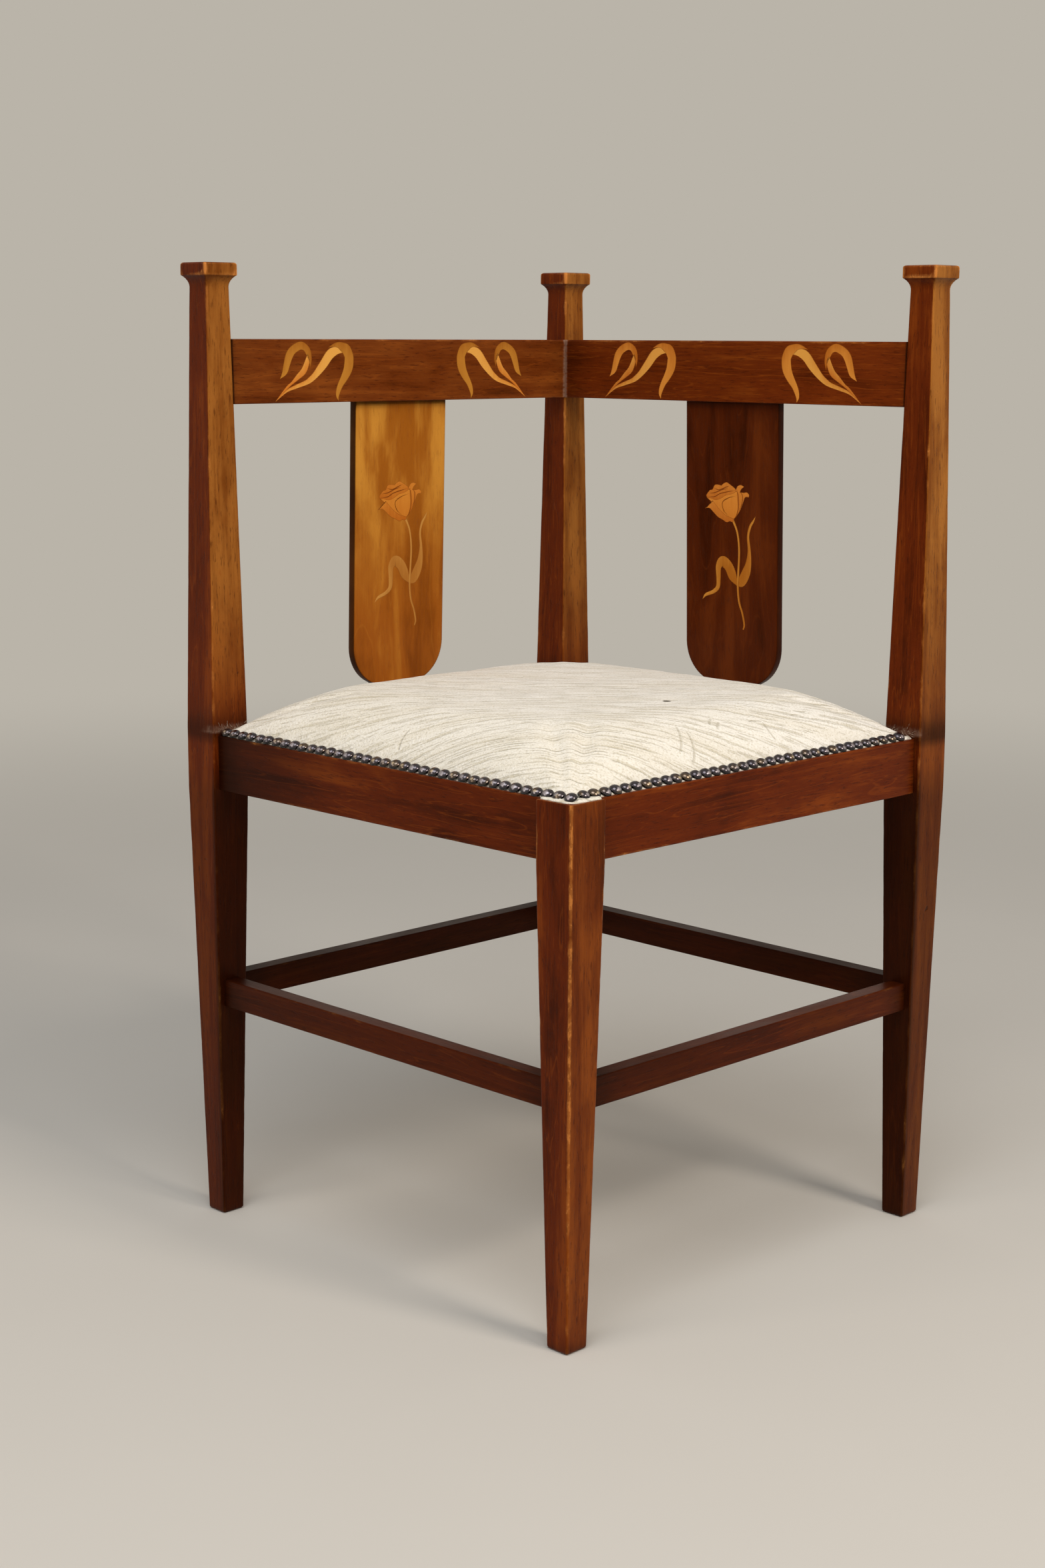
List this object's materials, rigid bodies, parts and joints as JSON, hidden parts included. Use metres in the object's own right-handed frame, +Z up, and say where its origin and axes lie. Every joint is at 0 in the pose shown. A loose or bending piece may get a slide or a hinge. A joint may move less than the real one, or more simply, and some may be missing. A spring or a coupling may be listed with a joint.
{
  "type": "corner chair",
  "caption": "Square-plan corner chair with tapered legs, capped posts, two top rails over flat splats, scroll and tulip inlay, a stuffed seat nailed along its front and low stretchers.",
  "frame": {"origin": "on the floor, under the centre of the chair's square plan", "axes": "+Z up; the front leg stands towards -Y, the back post towards +Y and the other two posts towards -X and +X"},
  "size_m": [0.6152, 0.6152, 0.78],
  "materials": {
    "dark_wood": "old French polish, semi gloss",
    "splat_wood": "polished figured veneer",
    "block_wood": "bare sawn softwood",
    "golden_veneer": "polished inlay",
    "pale_veneer": "polished inlay",
    "chenille": "woven, matt",
    "webbing": "jute, matt",
    "hessian": "open jute weave, matt",
    "stuffing": "fibre, matt",
    "bronzed_nail": "dark bronze, worn",
    "blued_tack": "blued",
    "screw_steel": "dull"
  },
  "bodies": {
    "root": {"back_corner_block": "block_wood", "back_left_seat_rail": "dark_wood", "back_left_stretcher": "dark_wood", "back_post": "dark_wood", "back_right_seat_rail": "dark_wood", "back_right_stretcher": "dark_wood", "corner_block_screws": "screw_steel", "front_corner_block": "block_wood", "front_left_nails": "bronzed_nail", "front_left_seat_rail": "dark_wood", "front_left_stretcher": "dark_wood", "front_leg": "dark_wood", "front_right_nails": "bronzed_nail", "front_right_seat_rail": "dark_wood", "front_right_stretcher": "dark_wood", "hessian": "hessian", "left_corner_block": "block_wood", "left_post": "dark_wood", "left_rail_scroll_hooks": "golden_veneer", "left_rail_scroll_tails": "pale_veneer", "left_splat": "splat_wood", "left_top_rail": "dark_wood", "left_tulip_bowl": "pale_veneer", "left_tulip_leaves": "golden_veneer", "left_tulip_petals": "golden_veneer", "left_tulip_stem": "pale_veneer", "right_corner_block": "block_wood", "right_post": "dark_wood", "right_rail_scroll_hooks": "golden_veneer", "right_rail_scroll_tails": "pale_veneer", "right_splat": "splat_wood", "right_top_rail": "dark_wood", "right_tulip_bowl": "pale_veneer", "right_tulip_leaves": "golden_veneer", "right_tulip_petals": "golden_veneer", "right_tulip_stem": "pale_veneer", "seat_cover": "chenille", "seat_stuffing": "stuffing", "webbing_crosswise": "webbing", "webbing_lengthwise": "webbing", "webbing_tacks": "blued_tack"}
  },
  "joints": []
}
